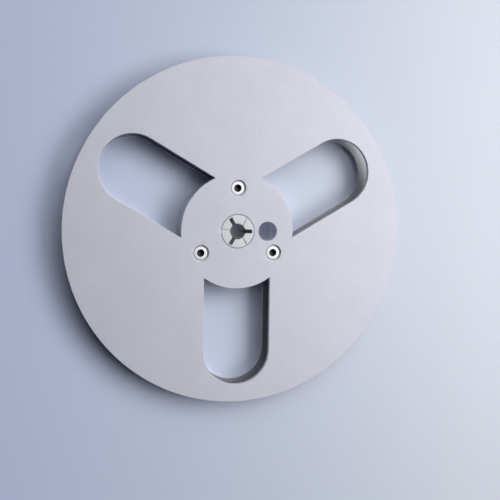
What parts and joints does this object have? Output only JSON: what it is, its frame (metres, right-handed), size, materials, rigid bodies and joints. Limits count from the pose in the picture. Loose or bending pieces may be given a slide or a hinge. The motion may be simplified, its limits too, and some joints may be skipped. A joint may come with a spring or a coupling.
{
  "type": "open-reel tape reel",
  "caption": "Empty aluminium tape reel: windowed flanges on a drum, with a slotted spindle bush, a finger hole and recessed screws.",
  "frame": {"origin": "on the spindle axis, at the rear flange's outer face", "axes": "+Z along the spindle axis towards the front face; +X from the spindle axis towards the finger hole; +Y away from the lower window"},
  "size_m": [0.1778, 0.1778, 0.0135],
  "materials": {
    "flange_aluminium": "fine matt blasted and clear anodised",
    "drum_aluminium": "fine turned and clear anodised",
    "bush_aluminium": "fine turned, matt",
    "screw_steel": "bright nickel-plated steel",
    "nut_steel": "bright nickel-plated steel"
  },
  "bodies": {
    "root": {"front_flange": "flange_aluminium", "rear_flange": "flange_aluminium", "tape_drum": "drum_aluminium", "spindle_bush": "bush_aluminium", "cap_screw_1": "screw_steel", "cap_screw_2": "screw_steel", "cap_screw_3": "screw_steel", "sleeve_nut_1": "nut_steel", "sleeve_nut_2": "nut_steel", "sleeve_nut_3": "nut_steel"}
  },
  "joints": []
}
